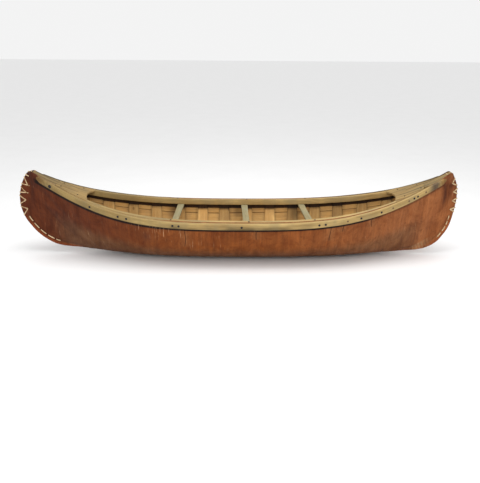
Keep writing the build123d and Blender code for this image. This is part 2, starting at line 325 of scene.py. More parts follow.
def slab_faces(rows, columns):
    """Faces of a closed slab: an outer and an inner grid of rows by columns, and their rims."""
    size = rows * columns
    faces = []
    for i in range(rows - 1):
        for j in range(columns - 1):
            a = i * columns + j
            faces.append((a, a + columns, a + columns + 1, a + 1))
            faces.append((a + size, a + size + 1, a + size + columns + 1, a + size + columns))
    for i in range(rows - 1):
        a = i * columns
        b = a + columns - 1
        faces.append((a, a + size, a + columns + size, a + columns))
        faces.append((b, b + columns, b + columns + size, b + size))
    for j in range(columns - 1):
        a = j
        b = (rows - 1) * columns + j
        faces.append((a, a + 1, a + 1 + size, a + size))
        faces.append((b, b + size, b + 1 + size, b + 1))
    return faces


def slab(name, outer, inner, along, across, seed, material, nodes, edge, colour):
    """A closed piece between two grids, with grain coordinates in metres."""
    rows, columns = outer.shape[:2]
    points = np.concatenate([outer.reshape(-1, 3), inner.reshape(-1, 3)])
    grain = np.stack(np.broadcast_arrays(along, across, float(seed)), -1).reshape(-1, 3)
    both = np.concatenate([colour.reshape(-1, 3)] * 2)
    piece = add_piece(name, points, slab_faces(rows, columns), material, nodes,
                      np.concatenate([grain, grain + (0, 0.013, 0)]), both)
    soften(piece, edge)


def ring(corners, radius):
    """A closed outline with rounded corners from a list of (a, b) corners."""
    corners = np.array(corners, float)
    points = []
    for i, corner in enumerate(corners):
        before = corners[i - 1] - corner
        after = corners[(i + 1) % len(corners)] - corner
        cut_before = min(radius, 0.45 * np.linalg.norm(before))
        cut_after = min(radius, 0.45 * np.linalg.norm(after))
        start = corner + before / np.linalg.norm(before) * cut_before
        end = corner + after / np.linalg.norm(after) * cut_after
        for t in (0.0, 0.5, 1.0):
            points.append((1 - t) ** 2 * start + 2 * t * (1 - t) * corner + t * t * end)
    return np.array(points)


def tube_faces(count, sides):
    """Faces of a closed tube over count rings of sides points, and its two end caps."""
    faces = []
    for i in range(count - 1):
        for j in range(sides):
            a = i * sides + j
            b = i * sides + (j + 1) % sides
            faces.append((a, b, b + sides, a + sides))
    faces.append(tuple(range(sides))[::-1])
    faces.append(tuple(range((count - 1) * sides, count * sides)))
    return faces


def bar(name, rings, along, seed, material, nodes, colour):
    """A long closed piece skinned over rings of (x, y, z) points."""
    count, sides = rings.shape[:2]
    step = np.linalg.norm(np.diff(rings[0], axis=0, append=rings[0][:1]), axis=1)
    around = np.concatenate([[0], np.cumsum(step)[:-1]])
    grain = np.zeros((count, sides, 3))
    grain[..., 0] = np.asarray(along)[:, None]
    grain[..., 1] = around[None]
    grain[..., 2] = seed
    return add_piece(name, rings.reshape(-1, 3), tube_faces(count, sides), material, nodes,
                     grain.reshape(-1, 3), colour)


def cylinder_axes(direction):
    """Two unit vectors square to a direction."""
    direction = Vector(direction).normalized()
    helper = Vector((0, 1, 0)) if abs(direction.y) < 0.8 else Vector((1, 0, 0))
    first = direction.cross(helper).normalized()
    return first, direction.cross(first).normalized()


def tube_parts(path, radius, seed):
    """Points and faces of one root: a slightly flattened, uneven tube with closed ends."""
    dice = np.random.default_rng(seed)
    tangents = np.gradient(path, axis=0)
    points = []
    normal = None
    for i, centre in enumerate(path):
        tangent = Vector(tangents[i]).normalized()
        if normal is None:
            normal = cylinder_axes(tangent)[0]
        normal = (normal - tangent * normal.dot(tangent)).normalized()
        side = tangent.cross(normal)
        swell = radius * (1 + 0.12 * dice.uniform(-1, 1))
        taper = 0.75 if i in (0, len(path) - 1) else 1.0
        for j in range(ROOT_SIDES):
            turn = math.tau * j / ROOT_SIDES
            offset = normal * math.cos(turn) * swell + side * math.sin(turn) * swell * ROOT_FLATNESS
            points.append(np.array(centre) + np.array(offset) * taper)
    return points, tube_faces(len(path), ROOT_SIDES)


def join_parts(name, parts, material, nodes, colour=None):
    """One object from several (points, faces) parts."""
    points = []
    faces = []
    grain = []
    for number, (part_points, part_faces) in enumerate(parts):
        base = len(points)
        points += list(part_points)
        faces += [tuple(i + base for i in face) for face in part_faces]
        grain += [(p[0] + p[2], p[1], number * 0.37) for p in part_points]
    return add_piece(name, points, faces, material, nodes, grain, colour)


# ---- materials ----
class Paint:
    """A node material under construction."""

    def __init__(self, name, roughness=0.6, specular=0.4):
        self.material = bpy.data.materials.new(name)
        self.material.use_nodes = True
        self.tree = self.material.node_tree
        self.shader = self.tree.nodes["Principled BSDF"]
        self.shader.inputs["Roughness"].default_value = roughness
        self.shader.inputs["Specular IOR Level"].default_value = specular

    def node(self, kind, inputs=None, **settings):
        made = self.tree.nodes.new("ShaderNode" + kind)
        for key, value in settings.items():
            setattr(made, key, value)
        for key, value in (inputs or {}).items():
            if isinstance(value, bpy.types.NodeSocket):
                self.tree.links.new(value, made.inputs[key])
            else:
                made.inputs[key].default_value = value
        return made

    def attribute(self, name):
        return self.node("Attribute", attribute_name=name)

    def stretched(self, vector, scale, shift=(0, 0, 0)):
        return self.node("Mapping", {"Vector": vector, "Scale": scale,
                                     "Location": shift}).outputs["Vector"]

    def noise(self, vector, scale, detail=4.0, rough=0.55, distortion=0.0):
        return self.node("TexNoise", {"Vector": vector, "Scale": scale, "Detail": detail,
                                      "Roughness": rough,
                                      "Distortion": distortion}).outputs["Fac"]

    def streaks(self, vector, scale, detail, rough=0.55, distortion=0.0, shift=(0, 0, 0)):
        """Noise stretched along the grain."""
        return self.noise(self.stretched(vector, scale, shift), 1.0, detail, rough, distortion)

    def ramp(self, value, stops):
        made = self.node("ValToRGB", {"Fac": value})
        elements = made.color_ramp.elements
        while len(elements) < len(stops):
            elements.new(0.5)
        for element, (place, colour) in zip(elements, stops):
            element.position = place
            element.color = colour if hasattr(colour, "__len__") else (colour, colour, colour, 1)
        return made.outputs["Color"]

    def mix(self, amount, first, second, blend="MIX"):
        made = self.node("Mix", {0: amount, 6: first, 7: second}, data_type="RGBA",
                         blend_type=blend)
        return made.outputs[2]

    def math(self, operation, first, second=0.0):
        return self.node("Math", {0: first, 1: second}, operation=operation).outputs[0]

    def times(self, first, second):
        return self.math("MULTIPLY", first, second)

    def remap(self, value, low, high, to_low=0.0, to_high=1.0):
        return self.node("MapRange", {"Value": value, "From Min": low, "From Max": high,
                                      "To Min": to_low, "To Max": to_high}).outputs[0]

    def finish(self, colour, height=None, bump=0.3, distance=0.002, roughness=None):
        self.tree.links.new(colour, self.shader.inputs["Base Color"])
        if roughness is not None:
            self.tree.links.new(roughness, self.shader.inputs["Roughness"])
        if height is not None:
            made = self.node("Bump", {"Height": height, "Strength": bump, "Distance": distance})
            self.tree.links.new(made.outputs["Normal"], self.shader.inputs["Normal"])
        return self.material


def wood_paint(name, light, dark, grey, spread_tone=0.25, knots=0.0, checks=0.3, upright=False):
    """Split or hewn wood: grain along the piece, tone by piece, weathering, knots and checks.
    An upright paint is for plain meshes: its grain runs up the piece and it takes no tint."""
    paint = Paint(name, roughness=0.72, specular=0.25)
    if upright:
        place = paint.node("SeparateXYZ", {"Vector": paint.node("TexCoord").outputs["Object"]}).outputs
        grain = paint.node("CombineXYZ", {"X": place["Z"], "Y": place["Y"], "Z": 1.0}).outputs[0]
    else:
        grain = paint.attribute("grain").outputs["Vector"]
    parts = paint.node("SeparateXYZ", {"Vector": grain})
    seed = parts.outputs["Z"]
    lifted = paint.node("CombineXYZ", {"X": parts.outputs["X"], "Y": parts.outputs["Y"],
                                       "Z": paint.times(seed, 3.7)}).outputs[0]
    warp = paint.streaks(lifted, (3.0, 9.0, 1.0), 3.0)
    bent = paint.node("VectorMath", {0: lifted, 1: paint.node(
        "CombineXYZ", {"Y": paint.times(warp, 0.035)}).outputs[0]},
        operation="ADD").outputs["Vector"]
    lines = paint.streaks(bent, (5.0, 330.0, 1.0), 5.0, 0.62)
    broad = paint.streaks(bent, (4.0, 45.0, 1.0), 4.0, 0.6)
    patch = paint.streaks(lifted, (9.0, 14.0, 1.0), 5.0, 0.6)
    colour = paint.ramp(broad, [(0.28, dark), (0.72, light)])
    shade = paint.ramp(lines, [(0.3, 0.52), (0.62, 1.0)])
    colour = paint.mix(0.62, colour, shade, "MULTIPLY")
    colour = paint.mix(paint.remap(patch, 0.42, 0.7, 0.0, 0.75), colour, grey)
    height = paint.math("ADD", paint.times(lines, 0.8), broad)
    if knots:
        cells = paint.node("TexVoronoi", {"Vector": paint.stretched(bent, (11.0, 22.0, 1.0)),
                                          "Scale": 1.0, "Randomness": 1.0})
        ringed = paint.ramp(cells.outputs["Distance"],
                            [(0.02, 0.25), (0.08, 0.6), (0.12, 0.4), (0.19, 1.0)])
        turn = paint.math("FRACT", paint.times(seed, 0.618))
        has_knots = paint.math("GREATER_THAN", turn, 1.0 - knots)
        colour = paint.mix(paint.times(has_knots, 0.8), colour, ringed, "MULTIPLY")
    crack = paint.streaks(bent, (2.2, 120.0, 1.0), 2.0, shift=(5, 2, 0))
    crack = paint.remap(crack, 0.69, 0.74)
    colour = paint.mix(paint.times(crack, checks), colour, tone(52, 36, 22))
    height = paint.math("SUBTRACT", height, crack)
    own = paint.node("TexWhiteNoise", {"W": seed}, noise_dimensions="1D").outputs["Value"]
    lightness = paint.remap(own, 0.0, 1.0, 1.0 - spread_tone, 1.0 + spread_tone * 0.7)
    final = paint.node("HueSaturation", {"Color": colour, "Value": lightness}).outputs["Color"]
    if not upright:
        final = paint.mix(1.0, final, paint.attribute("tint").outputs["Color"], "MULTIPLY")
    return paint.finish(final, height, 0.5, 0.0016)


def bark_paint():
    """Inner birch bark: a painted tint with vertical scores, lenticels, scuffs and soft sheen."""
    paint = Paint("birch_bark", roughness=0.55, specular=0.14)
    tint = paint.attribute("tint").outputs["Color"]
    grain = paint.attribute("grain").outputs["Vector"]
    parts = paint.node("SeparateXYZ", {"Vector": grain})
    scuffed = parts.outputs["Z"]
    sheet = paint.node("CombineXYZ", {"X": parts.outputs["X"], "Y": parts.outputs["Y"]}).outputs[0]
    clouds = paint.streaks(sheet, (8.0, 6.0, 1.0), 7.0, 0.66, 0.8)
    blotches = paint.streaks(sheet, (26.0, 19.0, 1.0), 5.0, 0.7, 1.2, shift=(4, 9, 0))
    colour = paint.mix(paint.remap(clouds, 0.36, 0.66, 0.0, 0.7), tint,
                       paint.mix(1.0, tint, tone(176, 150, 132), "MULTIPLY"))
    colour = paint.mix(paint.remap(blotches, 0.5, 0.72, 0.0, 0.5), colour,
                       paint.mix(1.0, tint, tone(150, 118, 94), "MULTIPLY"))
    bands = paint.streaks(sheet, (44.0, 2.6, 1.0), 4.0, 0.6, 0.3)
    scores = paint.streaks(sheet, (150.0, 6.0, 1.0), 5.0, 0.7, 0.4)
    colour = paint.mix(0.5, colour, paint.ramp(bands, [(0.34, 0.56), (0.62, 1.0)]), "MULTIPLY")
    colour = paint.mix(0.55, colour, paint.ramp(scores, [(0.32, 0.58), (0.64, 1.0)]), "MULTIPLY")
    pale = paint.remap(paint.streaks(sheet, (120.0, 8.0, 1.0), 3.0, shift=(3, 1, 0)),
                       0.60, 0.72)
    patches = paint.remap(paint.streaks(sheet, (5.0, 7.0, 1.0), 4.0, shift=(7, 7, 0)),
                          0.52, 0.64, 0.0, 0.45)
    amount = paint.times(pale, paint.math("ADD", patches, scuffed))
    colour = paint.mix(paint.math("MINIMUM", amount, 0.75), colour, tone(206, 160, 118))
    pores = paint.remap(paint.streaks(sheet, (36.0, 420.0, 1.0), 2.0), 0.64, 0.72)
    colour = paint.mix(paint.times(pores, 0.4), colour, tone(60, 30, 18))
    height = paint.math("ADD", paint.times(scores, 0.7), clouds)
    height = paint.math("SUBTRACT", height, paint.times(pores, 0.4))
    rough = paint.remap(clouds, 0.3, 0.7, 0.48, 0.66)
    return paint.finish(colour, height, 0.4, 0.003, rough)


def root_paint():
    paint = Paint("split_root", roughness=0.6, specular=0.3)
    grain = paint.attribute("grain").outputs["Vector"]
    fibre = paint.streaks(grain, (60.0, 260.0, 3.0), 4.0)
    colour = paint.ramp(fibre, [(0.3, tone(150, 112, 72)), (0.65, tone(226, 202, 160))])
    return paint.finish(colour, fibre, 0.4, 0.0008)


def iron_paint():
    paint = Paint("nail_iron", roughness=0.62, specular=0.3)
    paint.shader.inputs["Metallic"].default_value = 0.25
    grain = paint.attribute("grain").outputs["Vector"]
    rust = paint.streaks(grain, (240.0, 240.0, 240.0), 4.0)
    colour = paint.ramp(rust, [(0.35, tone(20, 22, 30)), (0.7, tone(46, 42, 44))])
    colour = paint.mix(1.0, colour, paint.attribute("tint").outputs["Color"], "MULTIPLY")
    return paint.finish(colour, rust, 0.4, 0.0006)


BARK_MATERIAL = bark_paint()
ROOT_MATERIAL = root_paint()
IRON_MATERIAL = iron_paint()
RIB_MATERIAL = wood_paint("rib_cedar", tone(218, 180, 116), tone(184, 138, 78), tone(172, 136, 86),
                          0.12, knots=0.4)
PLANK_MATERIAL = wood_paint("sheathing_cedar", tone(226, 182, 112), tone(196, 148, 84),
                            tone(180, 144, 94), 0.16)
GUNWALE_MATERIAL = wood_paint("gunwale_wood", tone(202, 172, 112), tone(160, 128, 76),
                              tone(146, 128, 90), 0.04, checks=0.6)
THWART_MATERIAL = wood_paint("thwart_wood", tone(168, 154, 112), tone(134, 120, 82),
                             tone(142, 138, 110), 0.08)
DECK_MATERIAL = wood_paint("deck_wood", tone(176, 145, 90), tone(126, 98, 54),
                           tone(130, 112, 74), 0.05, checks=0.8)
STEM_MATERIAL = wood_paint("stem_wood", tone(190, 150, 98), tone(150, 110, 66),
                           tone(140, 116, 84), 0.1, upright=True)


# ---- the bark skin ----
def fin_share(x):
    stem = stem_of(x)
    return float(smooth(abs(x), stem.start, stem.start + 0.09))


# Drops below the gunwale where the bark's mesh has a row of points, for crisp painted edges.
EDGE_DROPS = (0.078, 0.0715, 0.0690, 0.0650, 0.0500, 0.0430, 0.0380, 0.0200, 0.0)


def bark_line(x):
    """Outer (y, z) line of one side, from the centre of the keel or fin edge to the gunwale."""
    stem = stem_of(x)
    tip = stem.gunwale_tip
    low = float(stem.low(x)) if abs(x) > stem.start else float(rocker(x))
    if abs(x) <= tip:
        side = section(x)
        side[-1, 1] += bark_lip(x)
    else:
        tip_line = section(math.copysign(tip, x))
        shut = 1 - float(smooth(abs(x), tip, tip + 0.05))
        rise = (tip_line[:, 1] - tip_line[0, 1]) / (tip_line[-1, 1] - tip_line[0, 1])
        top = float(stem.high(x)) + bark_lip(x) * shut
        fold = float(np.clip(stem.fold(x), low, top - 0.001))
        side = np.stack([tip_line[:, 0] * shut, fold + (top - fold) * rise], 1)
    half = FIN_HALF * fin_share(x)
    side[:, 0] = np.sqrt(side[:, 0] ** 2 + half ** 2)
    if side[0, 1] > low + 0.0005:
        side = np.vstack([[half, low], side])
    run = running_length(side)
    drops = np.array(EDGE_DROPS) * min(1.0, run[-1] / 0.14)
    picks = np.concatenate([np.linspace(0, run[-1] - drops[0], GIRTH_POINTS - len(drops) + 1)[:-1],
                            run[-1] - drops])
    return along_line(picks, run, side)


def slit_line(x, drop, slit):
    """How far a place is from a gore slit sideways, and how much the slit is open there."""
    middle, top, bottom = slit
    bend = 0.004 * np.sin(drop * 38 + middle * 9)
    window = smooth(drop, top - 0.006, top + 0.004) * fade(drop, bottom - 0.012, bottom + 0.006)
    return x - middle - bend, window


def near_curve(x, z, curve):
    """Distance in the (x, z) plane to a curve, found in small lots."""
    spots = np.stack([x.ravel(), z.ravel()], 1)
    gaps = [np.min(np.linalg.norm(lot[:, None] - curve[None], axis=2), 1)
            for lot in np.array_split(spots, max(1, len(spots) // 4000))]
    return np.concatenate(gaps).reshape(x.shape)


def darken(colour, share, amount):
    """Take share times amount off a colour; amount is one number or one for each channel."""
    return colour * (1 - share[..., None] * np.array(amount))


def blend(colour, shade, share):
    """Lay a display colour over another at this share."""
    return colour * (1 - share[..., None]) + np.array(tone(*shade)[:3]) * share[..., None]


def bark_tint(x, z, drop, share, stain_and_shadow):
    """Colour of the outer face: darker to the left, paler to the right, grey-brown below, with a painted
    shadow in a dark band under the outwale.
    """
    colour = np.broadcast_to(np.array(tone(108, 52, 22)[:3]), x.shape + (3,))
    colour = blend(colour, (152, 84, 34), smooth(x, -1.15, -0.15))
    colour = blend(colour, (176, 108, 60), smooth(x, 0.1, 1.2))
    under = 0.6 * fade(share, 0.40, 0.62) * fade(np.abs(x), 1.15, 1.35)
    colour = blend(colour, (126, 92, 62), under)
    colour = blend(colour, (78, 38, 24), 0.5 * fade(x, -1.3, -0.9) * smooth(
        wobble(x, z, 1.0, 21, 0.8), 0.0, 0.6))
    colour = blend(colour, (84, 44, 28), 0.65 * bell(x, -0.62, 0.035) * bell(drop, 0.135, 0.045))
    for slit in SLITS:
        gap, window = slit_line(x, drop, slit)
        beside = bell(gap, 0, 0.030) * window
        colour = blend(colour, (186, 132, 84), 0.28 * beside)
        colour = blend(colour, (44, 22, 12), 0.95 * bell(gap, 0, SLIT_HALF) * window)
    for stem in STEMS.values():
        here = np.sign(x) == stem.side
        reach = np.where(here & (np.abs(x) > 1.1), 1.0, 0.0)
        spots = reach > 0
        edge_gap = np.full(x.shape, 9.0)
        fold_gap = np.full(x.shape, 9.0)
        edge_gap[spots] = near_curve(x[spots], z[spots], stem.edge[::3])
        fold_gap[spots] = near_curve(x[spots], z[spots], stem.crease[60:290:3])
        chin = bell(edge_gap, 0, 0.020, 4) * fade(z, 0.26, 0.30)
        colour = blend(colour, (164, 82, 36), 0.65 * chin)
        colour = blend(colour, (62, 28, 20), 0.35 * bell(edge_gap, 0.034, 0.006)
                       * fade(z, 0.26, 0.30))
        colour = blend(colour, (70, 36, 30), stem.stain_and_shadow * bell(fold_gap, 0, 0.016)
                       * smooth(z, 0.30, 0.42))
        if stem.side > 0:
            colour = blend(colour, (92, 44, 28), 0.45 * here * smooth(np.abs(x), 1.38, 1.44)
                           * smooth(z, 0.36, 0.46))
        rim = bell(edge_gap, 0, 0.0045) * smooth(z, 0.2, 0.3)
        colour = blend(colour, (66, 34, 24), 0.5 * rim)
    fray = bell(x, 1.275, 0.085, 4) * fade(z - 0.028 - 0.5 * (x - 1.2), 0.012, 0.022)
    colour = blend(colour, (190, 150, 108), 0.8 * fray * (x > 1.1) * (0.6 + 0.4 * np.sin(x * 260 + z * 90)))
    # Painted shadow: the dark band on the bark just under the outwale.
    return blend(colour, (30, 17, 10), 0.96 * stain_and_shadow)


def build_bark():
    """Both outer and inner faces of the folded sheet, with the sewn fins at its ends."""
    swing = np.linspace(-math.pi / 2, math.pi / 2, 340)
    stations = list((HALF_LENGTH - 0.0004) * np.sin(swing))
    for slit in SLITS:
        stations += [slit[0] + side * step for side in (-1, 1)
                     for step in (0.0008, 0.0025, 0.0045, 0.007, 0.012)]
    stations = np.array(sorted(stations))
    outer_rows = []
    inner_rows = []
    girth_rows = []
    for x in stations:
        line = bark_line(x)
        fin = fin_share(x)
        low = line[0, 1]
        run = running_length(line)
        room = run[-1]
        groove = min(0.007 * fin, room * 0.3)
        rim = np.array([[0.0, low + groove], [0.0005, low]])
        inner = inset_line(line, BARK - 0.0002)
        closed = inner[:, 0] < 0.00035
        inner[closed, 0] = 0.00035
        inner[closed, 1] = line[closed, 1]
        inner[-1, 1] = line[-1, 1]
        keel_top = low + 0.0048 * (1 - fin)
        inner_rim = np.array([[0.0, min(keel_top + 0.010 * fin, low + room * 0.6)],
                              [0.0002, keel_top + min(0.006 * fin, room * 0.4)]])
        outer_rows.append(np.vstack([rim, line]))
        inner_rows.append(np.vstack([inner_rim, inner]))
        girth_rows.append(np.concatenate([[0, 0], run]))
    outer_rows = np.array(outer_rows)
    inner_rows = np.array(inner_rows)
    girth_rows = np.array(girth_rows)

    x = np.repeat(stations[:, None], outer_rows.shape[1], 1)
    drop = girth_rows[:, -1:] - girth_rows
    free = smooth(drop, OUTWALE_DEPTH + 0.004, OUTWALE_DEPTH + 0.05)
    uneven = free * wobble(x, girth_rows, 0.0022, 11)
    uneven = uneven + free * wobble(x, girth_rows * 0.25, 0.0014, 5, 0.25)
    for slit in SLITS:
        gap, window = slit_line(x, drop, slit)
        uneven = uneven + 0.0016 * window * (gap > 0) * bell(gap, 0, 0.018)
        uneven = uneven - 0.0018 * window * bell(gap, 0, SLIT_HALF)
    for stem in STEMS.values():
        near = (np.abs(x) > 1.2) & (np.sign(x) == stem.side)
        gap = near_curve(x[near], outer_rows[..., 1][near], stem.crease[100:270:2])
        uneven[near] += 0.0042 * bell(gap, 0, 0.010)
    uneven = uneven * np.clip(outer_rows[..., 0] / 0.004, 0, 1)

    def both_sides(rows, push):
        """Grid from the near gunwale round the keel to the far gunwale."""
        half = np.stack([x, rows[..., 0] + push, rows[..., 1]], -1)
        near_half = half[:, ::-1] * (1, -1, 1)
        return np.concatenate([near_half, half[:, 1:]], 1)

    def mirrored(values):
        return np.concatenate([values[:, ::-1], values[:, 1:]], 1)

    outer = both_sides(outer_rows, uneven)
    inner = both_sides(inner_rows, uneven * (inner_rows[..., 0] > 0.001))
    rows, columns = outer.shape[:2]
    points = np.concatenate([outer.reshape(-1, 3), inner.reshape(-1, 3)])
    around = np.concatenate([-girth_rows[:, ::-1], girth_rows[:, 1:]], 1) + 2.0
    scuff = 0.85 * bell(x, -0.55, 0.16, 4) * bell(drop, 0.095, 0.05, 4)
    scuff = scuff + 0.5 * bell(x, 0.89, 0.03) * bell(drop, 0.08, 0.04)
    grain = np.stack([mirrored(x), around, mirrored(scuff)], -1).reshape(-1, 3)
    # Painted shadow of the outwale: a dark band on the bark just under it, weaker towards the right end and
    # gone at the tips.
    stain_and_shadow = fade(drop, OUTWALE_DEPTH + 0.0245, OUTWALE_DEPTH + 0.029)
    stain_and_shadow = stain_and_shadow * smooth(drop, OUTWALE_DEPTH - 0.004, OUTWALE_DEPTH - 0.001)
    stain_and_shadow = stain_and_shadow * fade(np.abs(x), 1.395, 1.425) * (1 - 0.6 * smooth(x, 0.80, 1.05))
    share = girth_rows / girth_rows[:, -1:]
    colour = bark_tint(x, outer_rows[..., 1], drop, share, stain_and_shadow)
    edge_tone = smooth(-drop, -0.012, -0.006)
    colour = blend(colour, (160, 112, 70), 0.8 * edge_tone * fade(np.abs(x), 1.36, 1.40))
    beside_deck = smooth(-x, 0.45, 0.65) * fade(-x, 1.36, 1.39)
    beside_deck = beside_deck + smooth(x, 0.98, 1.06) * fade(x, 1.38, 1.42)
    colour = blend(colour, (172, 142, 92), 0.9 * beside_deck * smooth(-drop, -0.030, -0.020))
    # Painted shade: the far side's bark edge darker along most of its length.
    far_edge_shade = smooth(-drop, -0.012, -0.006) * smooth(np.abs(x), 0.3, 0.9)
    far_colour = blend(colour, (84, 70, 40), 0.85 * far_edge_shade)
    colour = np.concatenate([colour[:, ::-1], far_colour[:, 1:]], 1).reshape(-1, 3)
    faces = [face[::-1] for face in slab_faces(rows, columns)]
    add_piece("bark_skin", points, faces, BARK_MATERIAL, ["bark_hull"],
              np.concatenate([grain, grain]), np.concatenate([colour, colour]))


build_bark()


# ---- ribs and sheathing ----
# Brightness of single ribs, counted from 0 at the left; the others have 0.9. Rib 9's low value, beside the
# right thwart, is partly a painted shadow of that thwart.
RIB_TONES = {2: 0.80, 3: 0.95, 4: 0.90, 5: 1.27, 6: 0.92, 7: 1.12, 8: 1.16, 9: 0.72, 10: 0.98,
             11: 0.74, 12: 0.86, 13: 0.80}
# Drops below the gunwale where ribs and top strakes have a row of points, as the shade ends there.
TOP_DROPS = (0.086, 0.0700, 0.0680, 0.0655, 0.050)


def shade_under_gunwale(x, z):
    """Painted shade: blackens what lies tucked up under an inwale, and darkens ribs and planks just left of
    each thwart as the thwart's painted shadow.
    """
    dark = fade(sheer(x) - z, 0.0650, 0.0682)
    shade = darken(1.0, dark, (0.94, 0.96, 0.98))
    for place in THWARTS.values():
        beside = bell(x, place - 0.052, 0.036) * smooth(z, 0.14, 0.22)
        shade = darken(shade, beside, 0.55)
    return shade


def girth_picks(x, start, count, top_drop):
    """Girth fractions from start to a line below the gunwale, closer together near the top."""
    upper = [below(x, drop) for drop in TOP_DROPS] + [below(x, top_drop)]
    return np.concatenate([np.linspace(start, upper[0], count, endpoint=False), upper])


def build_ribs():
    for number in range(RIB_COUNT):
        middle = FIRST_RIB + RIB_PITCH * number
        dice = np.random.default_rng(100 + number)
        width = RIB_WIDTH * dice.uniform(0.93, 1.03)
        lean = dice.uniform(-0.004, 0.004)
        offsets = np.array([-0.5, -0.485, -0.38, -0.2, 0.0, 0.2, 0.38, 0.485, 0.5])
        outer = []
        inner = []
        for offset in offsets:
            crown = RIB * (0.80 + 0.2 * (1 - (2 * offset) ** 2))
            x = middle + offset * width
            picks = girth_picks(x, 0.0, 32, RABBET_DROP + 0.003)
            climb = picks / picks[-1]
            narrow = 1 - 0.16 * smooth(climb, 0.55, 1.0)
            xs = middle + offset * width * narrow + lean * climb
            for store, inset in ((outer, 0.0), (inner, crown)):
                half = layer_at(x, BARK + SHEATHING + 6 * GAP + inset, picks)
                far = np.stack([xs, half[:, 0], half[:, 1]], 1)
                near = np.stack([xs - 2 * lean * climb, -half[:, 0], half[:, 1]], 1)
                store.append(np.concatenate([near[::-1], far[1:]]))
        outer = np.array(outer)
        inner = np.array(inner)
        run = np.concatenate([-climb[::-1], climb[1:]])[None, :] * 0.48
        inner[..., 2] += wobble(run, offsets[:, None] * width, 0.0005, number) * (np.abs(run) < 0.3)
        colour = shade_under_gunwale(inner[..., 0], inner[..., 2]) * RIB_TONES.get(number, 0.9)
        # Painted shade: thin dark lines along both edges of each rib.
        rib_edge_shade = smooth(np.abs(offsets), 0.47, 0.5)[:, None, None]
        colour = colour * (1 - 0.62 * rib_edge_shade)
        name = f"rib_{number + 1:02d}"
        slab("bent_" + name, outer, inner, run, offsets[:, None] * width + number * 0.31,
             number * 1.7 + 1, RIB_MATERIAL, [name], 0.0015, colour)


def build_sheathing():
    seams = (0.14, 0.28, 0.42, 0.56, 0.70, 0.85)
    stations = np.linspace(frame_x["low"], frame_x["high"], 150)

    def seam_at(x, number, side):
        return seams[number] + 0.006 * math.sin(x * 5.1 + number * 2.3 + side) \
            + 0.003 * math.sin(x * 17 + number + side * 2)

    def strake(name, node, number, side):
        outer = []
        inner = []
        widths = []
        for x in stations:
            top_drop = RABBET_DROP + 0.008
            top = below(x, top_drop)
            low = 0.0 if number < 0 else seam_at(x, number, side) * top + 0.0016
            if number + 1 < len(seams):
                high = seam_at(x, number + 1, side) * top - 0.0016
                picks = low + (high - low) * np.array([0, 0.03, 0.1, 0.35, 0.65, 0.9, 0.97, 1.0])
            else:
                picks = girth_picks(x, low, 4, top_drop)
            for store, inset in ((outer, BARK + GAP), (inner, BARK + GAP + SHEATHING)):
                line = layer_at(x, inset, picks)
                half = np.stack([np.full(len(picks), x), side * line[:, 0], line[:, 1]], 1)
                if number < 0:
                    half = np.concatenate([half[:0:-1] * (1, -1, 1), half])
                store.append(half)
            widths.append(np.linspace(0, 0.07, outer[-1].shape[0]))
        inner = np.array(inner)
        colour = shade_under_gunwale(inner[..., 0], inner[..., 2])
        rims = np.minimum(np.arange(inner.shape[1]), np.arange(inner.shape[1])[::-1])
        colour = colour * np.where(rims < 1, 0.30, 1.0)[None, :, None]
        # Painted shade on the planks along both edges of every rib.
        for rib in range(RIB_COUNT):
            beside = np.abs(np.abs(inner[..., 0] - FIRST_RIB - RIB_PITCH * rib) - RIB_WIDTH * 0.5)
            colour = darken(colour, bell(beside, 0, 0.006), 0.22)
        slab(name, np.array(outer), inner, stations[:, None], np.array(widths),
             40 + number * 3.1 + side * 17, PLANK_MATERIAL, [node], 0.0008, colour)

    strake("plank_keel", "sheathing_keel", -1, 1)
    for number in range(len(seams)):
        for side, word in SIDES:
            strake(f"plank_{number + 1}_{word}", f"sheathing_{number + 1}_{word}", number, side)


plank_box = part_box("sheathing_keel")
frame_x = {"low": plank_box[0][0], "high": plank_box[1][0]}
build_ribs()
build_sheathing()


# ---- gunwales ----
def gunwale_rings(stations, corners_at, side, radius, seed):
    """Rounded outlines along a gunwale, drawn in towards both ends."""
    rings = []
    for x in stations:
        outline = ring(corners_at(x), radius)
        centre = outline.mean(0)
        end = min(x - stations[0], stations[-1] - x)
        shrink = 1 - 0.62 * (1 - float(smooth(end, -0.004, 0.034))) ** 1.5
        outline = centre + (outline - centre) * shrink
        outline[:, 1] += wobble(np.full(len(outline), x), outline[:, 0], 0.0006, seed)
        points = np.column_stack([np.full(len(outline), x), side * outline[:, 0], outline[:, 1]])
        rings.append(points if side > 0 else points[::-1])
    return np.array(rings)


def outwale_corners(x):
    thick = outwale_thick(x)
    return [at_gunwale(x, -GAP, 0), at_gunwale(x, -GAP, OUTWALE_DEPTH),
            at_gunwale(x, -GAP - thick, OUTWALE_DEPTH), at_gunwale(x, -GAP - thick, 0.001)]


def inwale_corners(x):
    inset = BARK + GAP
    inner = inset + INWALE_WIDTH * outwale_thick(x) / OUTWALE_WIDTH
    under_deck = max(smooth(-x, 1.06, 1.062), smooth(x, 1.075, 1.077))
    top = 0.0125 * float(under_deck)
    corners = [at_gunwale(x, inset, top), at_gunwale(x, inset, max(RABBET_TOP, top + 0.002)),
               at_gunwale(x, RABBET_INSET, RABBET_DROP), at_gunwale(x, RABBET_INSET, INWALE_DEPTH),
               at_gunwale(x, inner, INWALE_DEPTH), at_gunwale(x, inner, top)]
    return [(max(y, FIN_HALF + GAP), z) for y, z in corners]


